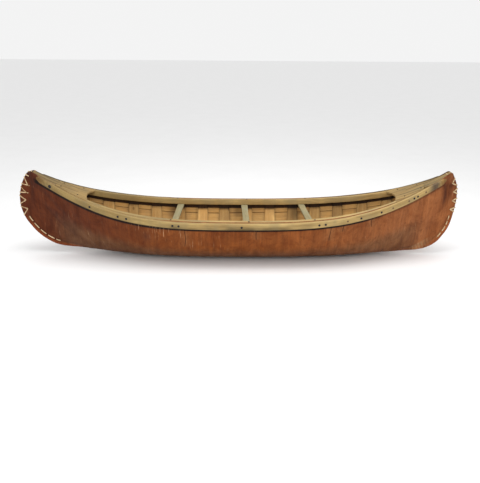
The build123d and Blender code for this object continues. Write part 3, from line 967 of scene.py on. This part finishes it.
def gunwale_tint(x, y, z, side):
    """Tint along a gunwale: duller to the left, weathered grey at the tips, stained near the right; the far
    gunwales are a painted shade darker.
    """
    shade = 0.69 + 0.31 * smooth(x, -0.95, 0.0) + 0.06 * smooth(x, 0.6, 1.2)
    # Painted shade: the far gunwales darker all along.
    if side > 0:
        shade = shade * 0.88
    colour = np.stack([shade, shade, shade * (0.94 + 0.06 * smooth(x, -1.0, 0.0))], -1)
    grey = (smooth(-x, 1.12, 1.40) + smooth(x, 1.22, 1.42)) * smooth(
        wobble(x * 0.5, z * 9 + y * 9, 1.0, 3, 0.4), -0.7, 0.5)
    colour = darken(colour, grey, (0.34, 0.35, 0.30))
    tip = smooth(-x, 1.31, 1.375) + smooth(x, 1.36, 1.41)
    colour = darken(colour, tip, (0.36, 0.50, 0.64))
    if side < 0:
        stain_and_shadow = bell(x, 1.338, 0.040, 4) * (0.7 + 0.3 * smooth(
            wobble(x * 4, z * 4, 1.0, 19), -0.3, 0.4))
        colour = darken(colour, stain_and_shadow, (0.66, 0.66, 0.50))
    return colour


def build_gunwales():
    for side, word in SIDES:
        for title, node, corners_at, inset, radius, seed in (
                ("outer", "outwale", outwale_corners, 0.0, 0.0042, 5),
                ("inner", "inwale", inwale_corners, 0.01, 0.003, 12)):
            stations = np.linspace(-LEFT_TIP + 0.030 + inset, RIGHT_TIP - 0.036 - inset, 300)
            rings = gunwale_rings(stations, corners_at, side, radius, seed + side)
            colour = gunwale_tint(rings[..., 0], rings[..., 1], rings[..., 2], side)
            drop = sheer(rings[..., 0]) - rings[..., 2]
            if title == "outer":
                # Painted shade: the outwale's underside and lowest edge darkened, for the shadow under it.
                colour = darken(colour, smooth(drop, 0.0395, 0.0412), 0.75)
                # Painted shade along the far outwale's top edge, away from the middle.
                if side > 0:
                    rim = smooth(np.abs(rings[..., 0] + 0.1), 0.2, 1.0) * fade(drop, 0.002, 0.008)
                    colour = darken(colour, rim, 0.65)
            else:
                # Painted shade: the inwale's underside and lowest edge darkened.
                colour = darken(colour, smooth(drop, 0.0372, 0.0388), 0.90)
            bar(f"{title}_gunwale_{word}", rings, stations, seed + side, GUNWALE_MATERIAL,
                [f"{node}_{word}"], colour)


build_gunwales()


# ---- thwarts ----
def build_thwarts():
    for number, (name, place) in enumerate(THWARTS.items()):
        low, high = np.array(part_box(name))
        shoulder = at_gunwale(place, BARK + INWALE_WIDTH, INWALE_DEPTH)[0] - 0.0024
        reach = high[1] - 0.001
        inside = np.linspace(-shoulder, shoulder, 56)
        stations = np.concatenate([[-reach, -shoulder - 0.0006], inside, [shoulder + 0.0006, reach]])
        rings = []
        for y in stations:
            waist = 1 - 0.10 * (1 - (y / reach) ** 2)
            half = (high[0] - low[0]) / 2 * waist
            top = high[2] - (THWART_SHOULDER + 0.0004 if abs(y) > shoulder else 0)
            outline = ring([(-half, low[2]), (half, low[2]), (half, top), (-half, top)], 0.0035)
            skew = (-0.006, 0.003, 0.008)[number] * (-y / reach)
            heights = outline[:, 1] + wobble(y, outline[:, 0], 0.0006, number) * (abs(y) < shoulder)
            points = np.column_stack([place + skew + outline[:, 0], np.full(len(outline), y), heights])
            rings.append(points[::-1])
        rings = np.array(rings)
        # Painted shade: the thwart's lower sides and underside darker than its top.
        painted_side_shade = fade(rings[..., 2] - low[2], 0.006, 0.014)
        colour = darken(np.ones(3), painted_side_shade, 0.35)
        bar("flat_" + name, rings, stations, 60 + number * 2.3, THWART_MATERIAL,
            [name], colour)


build_thwarts()


# ---- decks and tip blocks ----
def weathered_boards(x, y, side):
    """Grey streaks and a few dark cracks on a deck."""
    streak = smooth(wobble(x * 0.25, y * 5, 1.0, 51, 0.5), -0.2, 0.8)
    grey = streak * smooth(np.abs(x), 1.06, 1.25) * (0.85 if side == "left" else 0.55)
    colour = darken(1.0, grey, (0.40, 0.36, 0.28))
    for middle, start, stop in ((-0.35, 1.10, 1.30), (0.28, 1.16, 1.36), (0.55, 1.06, 1.17)):
        reach = at_gunwale(1.2 * STEMS[side].side, BARK, 0)[0]
        crack = bell(y / reach, middle, 0.05) * smooth(np.abs(x), start, start + 0.02)
        crack = crack * fade(np.abs(x), stop, stop + 0.02)
        colour = darken(colour, crack, 0.6)
    return colour


# How far a deck's outer end bulges, and how far its wedge runs on past the gunwale tip.
ROUND_END = {"left": 0.002, "right": 0.022}
WEDGE_RUN_ON = {"left": 0.036, "right": 0.030}


def build_deck(side):
    low, high = np.array(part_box(f"deck_{side}"))
    outward = STEMS[side].side
    inner_x, outer_x = (high[0], low[0]) if side == "left" else (low[0], high[0])
    share = np.linspace(0, 1, 60)
    spread_y = np.linspace(-1, 1, 41)
    top = np.zeros((60, 41, 3))
    for i, u in enumerate(share):
        for j, v in enumerate(spread_y):
            hollow = 0.026 * max(0.0, 1 - (v / 0.78) ** 2) * (1 - u) ** 2
            round_end = ROUND_END[side] * v * v * u ** 6
            x = inner_x + (outer_x - inner_x) * u + outward * (hollow - round_end)
            reach = at_gunwale(x, BARK + GAP, 0)[0] - 0.0006
            top[i, j] = (x, v * reach, float(sheer(x)) + 0.0038)
    top[..., 2] += wobble(top[..., 0], top[..., 1], 0.0008, 30) - 0.0016 * np.abs(spread_y) ** 3
    bottom = top - (0, 0, 0.0115)
    slab(f"deck_board_{side}", top, bottom, top[..., 0], top[..., 1], 70 + outward * 3,
         DECK_MATERIAL, [f"deck_{side}"], 0.0018,
         weathered_boards(top[..., 0], top[..., 1], side))


def build_tip_block(side):
    """The wedge between the gunwale tips, run on to where the two sides of the bark close."""
    low, high = np.array(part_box(f"tip_block_{side}"))
    outward = STEMS[side].side
    start = high[0] if side == "left" else low[0]
    tip = STEMS[side].gunwale_tip
    stop = outward * (tip + WEDGE_RUN_ON[side])
    grid = []
    for x in np.linspace(start + outward * 0.0008, stop, 60):
        pull = ROUND_END[side] * max(0.0, 1 - abs(x - start) / (high[0] - low[0])) ** 6
        reach = at_gunwale(outward * min(abs(x), tip), BARK + GAP, 0)[0] - 0.0008
        height = float(sheer(x)) + 0.0012
        if abs(x) > tip:
            bark_top = bark_line(x)[-1]
            reach = max(0.0004, min(reach, bark_top[0] - BARK - GAP))
            height = min(bark_top[1], float(sheer(tip)) + 0.0012 + (abs(x) - tip) * 0.7)
        grid.append([(x - outward * pull * v * v, v * reach, height - 0.002 * v * v)
                     for v in np.linspace(-1, 1, 15)])
    top = np.array(grid if side == "right" else grid[::-1])
    top[..., 2] += wobble(top[..., 0] * 2, top[..., 1] * 2, 0.0008, 41)
    bottom = top - (0, 0, 0.0185)
    slab(f"tip_wedge_{side}", top, bottom, top[..., 0], top[..., 1] + 0.3, 90 if side == "left" else 93,
         DECK_MATERIAL, [f"tip_block_{side}"], 0.0015,
         weathered_boards(top[..., 0], top[..., 1], side) * (0.80, 0.82, 0.86))


for end in STEMS:
    build_deck(end)
    build_tip_block(end)
    for hidden in ("headboard", "stem_piece"):
        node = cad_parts[f"{hidden}_{end}"]
        node.data.materials.clear()
        node.data.materials.append(STEM_MATERIAL)


# ---- nails ----
# Rings of one nail from the shank's point to the crown: share of the head's radius, and height.
NAIL_PROFILE = ((0.22, -0.012), (0.24, -0.0012), (0.97, -0.0010), (1.0, 0.0004), (0.78, 0.0016),
                (0.40, 0.0023))
NAIL_SIDES = 14


def nail_head(centre, outward, radius, seed):
    """A hammered, slightly domed nail head with a short buried shank."""
    first, second = cylinder_axes(outward)
    outward = np.array(Vector(outward).normalized())
    dice = np.random.default_rng(seed)
    points = []
    for reach, height in NAIL_PROFILE:
        for j in range(NAIL_SIDES):
            turn = math.tau * j / NAIL_SIDES
            size = radius * reach * (1 + 0.06 * dice.uniform(-1, 1))
            spot = np.array(first) * math.cos(turn) * size + np.array(second) * math.sin(turn) * size
            points.append(np.array(centre) + spot + outward * height)
    return points, tube_faces(len(NAIL_PROFILE), NAIL_SIDES)


def build_nails():
    for side, word in SIDES:
        parts = []
        tints = []
        for number, x in enumerate(NAILS):
            skin = -GAP - outwale_thick(x)
            y, z = at_gunwale(x, skin, OUTWALE_DEPTH / 2)
            upper = at_gunwale(x, skin, 0.005)
            lower = at_gunwale(x, skin, OUTWALE_DEPTH - 0.005)
            ahead = at_gunwale(x + 0.01, -GAP - outwale_thick(x + 0.01), OUTWALE_DEPTH / 2)
            behind = at_gunwale(x - 0.01, -GAP - outwale_thick(x - 0.01), OUTWALE_DEPTH / 2)
            along = np.array([0.02, side * (ahead[0] - behind[0]), ahead[1] - behind[1]])
            up = np.array([0, side * (upper[0] - lower[0]), upper[1] - lower[1]])
            outward = np.cross(up, along) * side
            brown = x in BROWN_NAILS
            radius = NAIL_RADIUS * (0.78 if brown else 1.6 if number == 0 else 1.0)
            part = nail_head((x, side * (y + 0.0006), z), outward, radius, number)
            parts.append(part)
            tints += [RUST_TINT if brown else PLAIN_TINT] * len(part[0])
        join_parts(f"side_nails_{word}", parts, IRON_MATERIAL, [f"outwale_nails_{word}"], tints)

    parts = []
    for place, shift in zip(THWARTS.values(), (-0.020, 0.014, 0.022)):
        for side in (-1, 1):
            y, z = at_gunwale(place + shift, BARK + INWALE_WIDTH * 0.42, 0)
            parts.append(nail_head((place + shift, side * y, z + 0.0012), (0, 0, 1),
                                   NAIL_RADIUS * 0.85, 31))
    join_parts("top_nails", parts, IRON_MATERIAL, ["thwart_nails"])

    parts = []
    for side in ("left", "right"):
        low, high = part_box(f"deck_{side}")
        for share, spread_y in ((0.32, 0.72), (0.86, 0.6)):
            inner_x = high[0] if side == "left" else low[0]
            x = inner_x + STEMS[side].side * (high[0] - low[0]) * share
            y = spread_y * at_gunwale(x, BARK, 0)[0]
            for hand in (-1, 1):
                parts.append(nail_head((x, hand * y, float(sheer(x)) + 0.0042), (0, 0, 1),
                                       NAIL_RADIUS * 0.7, 47))
    join_parts("board_nails", parts, IRON_MATERIAL, ["deck_nails"])


build_nails()


# ---- split-root stitches and lashings ----
# Each lacing stitch: the height of its inner hole, and where its two legs cross the stem edge.
LACING = {"left": [(0.511, 0.553, 0.508), (0.453, 0.484, 0.447), (0.390, 0.423, 0.366),
                   (0.318, 0.345, 0.284)],
          "right": [(0.530, 0.555, 0.508), (0.461, 0.482, 0.448), (0.394, 0.413, 0.380),
                    (0.329, 0.346, 0.317)]}
LACING_DEPTH = {"left": 0.041, "right": 0.027}
CHIN_STITCHES = {"left": [(0.262, 0.222), (0.208, 0.168), (0.156, 0.121), (0.112, 0.084), (0.078, 0.066)],
                 "right": [(0.284, 0.252), (0.242, 0.212), (0.202, 0.160), (0.147, 0.110)]}
CHIN_DEPTH = {"left": 0.029, "right": 0.023}


def stem_point(stem, height, inboard):
    """Point (x, z) at a height on the stem edge, moved inboard."""
    return stem.at(np.interp(height, stem.edge[:, 1], np.linspace(0, 1, EDGE_POINTS)), inboard)


def lace(hole, crossing):
    """A root from a hole over the stem edge and back to the same hole on the other side."""
    over = crossing + (crossing - hole) / np.linalg.norm(crossing - hole) * 0.0028
    middle = (hole * 0.45 + crossing * 0.55)
    lift = FIN_HALF + 0.0026
    half = [(hole[0], -FIN_HALF + 0.001, hole[1]), (hole[0] * 0.88 + crossing[0] * 0.12, -lift,
                                                   hole[1] * 0.88 + crossing[1] * 0.12),
            (middle[0], -lift - 0.0006, middle[1]), (crossing[0], -lift + 0.001, crossing[1])]
    path = half + [(over[0], 0.0, over[1])] + [(x, -y, z) for x, y, z in half[::-1]]
    return curve_through(path, 34)


def knot(centre, side, radius, seed):
    """A small tuck of root showing at a hole."""
    path = [(centre[0] - radius, side * (FIN_HALF + 0.0004), centre[1]),
            (centre[0], side * (FIN_HALF + 0.0030), centre[1] + radius * 0.4),
            (centre[0] + radius, side * (FIN_HALF + 0.0004), centre[1])]
    return tube_parts(curve_through(path, 7), radius * 0.8, seed)


def build_roots():
    for end, stem in STEMS.items():
        dice = np.random.default_rng(9 if end == "left" else 10)
        parts = []
        for number, (hole_z, upper, lower) in enumerate(LACING[end]):
            hole = stem_point(stem, hole_z, LACING_DEPTH[end] + dice.uniform(-0.002, 0.002))
            for leg in (upper, lower):
                path = lace(hole, stem_point(stem, leg, 0.0))
                radius = ROOT_RADIUS * dice.uniform(0.9, 1.1) * (1.0 if end == "left" else 1.36)
                parts.append(tube_parts(path, radius, number))
            if end == "left" and number < 2:
                for side in (-1, 1):
                    inner = stem_point(stem, hole_z - 0.001, LACING_DEPTH[end] + 0.011)
                    parts.append(knot(inner, side, 0.0042, number))
        join_parts(f"stem_lacing_{end}", parts, ROOT_MATERIAL, [f"stem_stitching_{end}"])

        parts = []
        for number, (start, stop) in enumerate(CHIN_STITCHES[end]):
            for side in (-1, 1):
                path = []
                for share in np.linspace(0, 1, 7):
                    x, z = stem_point(stem, start + (stop - start) * share, CHIN_DEPTH[end])
                    lift = FIN_HALF + 0.0024 * math.sin(math.pi * min(max(share, 0.06), 0.94)) ** 0.4
                    path.append((x, side * lift, z))
                parts.append(tube_parts(curve_through(path, 14), ROOT_RADIUS, number + 20))
        join_parts(f"chin_lacing_{end}", parts, ROOT_MATERIAL, [f"chin_stitching_{end}"])

        hand = stem.side
        tip = stem.gunwale_tip + 0.020
        hole = np.array([hand * tip, float(sheer(tip)) - 0.026])
        head = stem.edge[-30:]
        parts = []
        for number, (share, shift) in enumerate(((0.0, 0.0), (0.35, 0.004), (0.62, -0.003), (0.9, 0.002))):
            crossing = head[int(share * (len(head) - 1))]
            start = hole + (shift, shift * 0.5)
            parts.append(tube_parts(lace(start, crossing), ROOT_RADIUS * 0.95, 60 + number))
        join_parts(f"head_lashing_{end}", parts, ROOT_MATERIAL, [f"tip_lashing_{end}"])


build_roots()


# ---- stage, light and camera ----
def build_stage():
    floor_paint = Paint("pale_floor", roughness=0.9, specular=0.1)
    spot = floor_paint.node("TexCoord").outputs["Object"]
    speck = floor_paint.noise(spot, 3.0, 3.0)
    floor_material = floor_paint.finish(floor_paint.ramp(speck, [(0.0, (0.86, 0.86, 0.86, 1)),
                                                                 (1.0, (0.9, 0.9, 0.9, 1))]))
    mesh = bpy.data.meshes.new("floor")
    reach = 40.0
    mesh.from_pydata([(-reach, -reach, 0), (reach, -reach, 0), (reach, reach, 0), (-reach, reach, 0)],
                     [], [(0, 1, 2, 3)])
    mesh.materials.append(floor_material)
    floor = bpy.data.objects.new("floor", mesh)
    bpy.context.scene.collection.objects.link(floor)

    world = bpy.data.worlds.new("studio")
    world.use_nodes = True
    world.node_tree.nodes["Background"].inputs["Color"].default_value = (1, 1, 1, 1)
    world.node_tree.nodes["Background"].inputs["Strength"].default_value = 0.90
    bpy.context.scene.world = world

    def area(name, place, target, size, power):
        light = bpy.data.lights.new(name, "AREA")
        light.shape = "RECTANGLE"
        light.size, light.size_y = size
        light.energy = power
        lamp = bpy.data.objects.new(name, light)
        lamp.location = place
        lamp.rotation_euler = (Vector(target) - Vector(place)).to_track_quat("-Z", "Y").to_euler()
        bpy.context.scene.collection.objects.link(lamp)

    area("overhead_soft", (0.3, -0.6, 3.4), (0, 0, 0.2), (3.6, 1.6), 70)
    area("front_soft", (-1.2, -4.2, 2.2), (0, 0, 0.25), (3.0, 2.0), 38)


def build_camera():
    distance = 4.27
    elevation = math.radians(16.0)
    swing = math.radians(-0.92)
    target = Vector((0, 0, 0.3))
    camera_data = bpy.data.cameras.new("camera")
    camera_data.lens = 45.2
    camera_data.sensor_width = 36.0
    camera_data.shift_x = 0.0016
    camera_data.shift_y = -0.0592
    camera = bpy.data.objects.new("camera", camera_data)
    direction = Vector((math.sin(swing) * math.cos(elevation), -math.cos(swing) * math.cos(elevation),
                        math.sin(elevation)))
    camera.location = target + direction * distance
    facing = (-direction).to_track_quat("-Z", "Y").to_matrix().to_4x4()
    camera.rotation_euler = (facing @ Matrix.Rotation(math.radians(0.43), 4, "Z")).to_euler()
    bpy.context.scene.collection.objects.link(camera)
    bpy.context.scene.camera = camera


build_stage()
build_camera()
bpy.context.scene.view_settings.view_transform = "Standard"
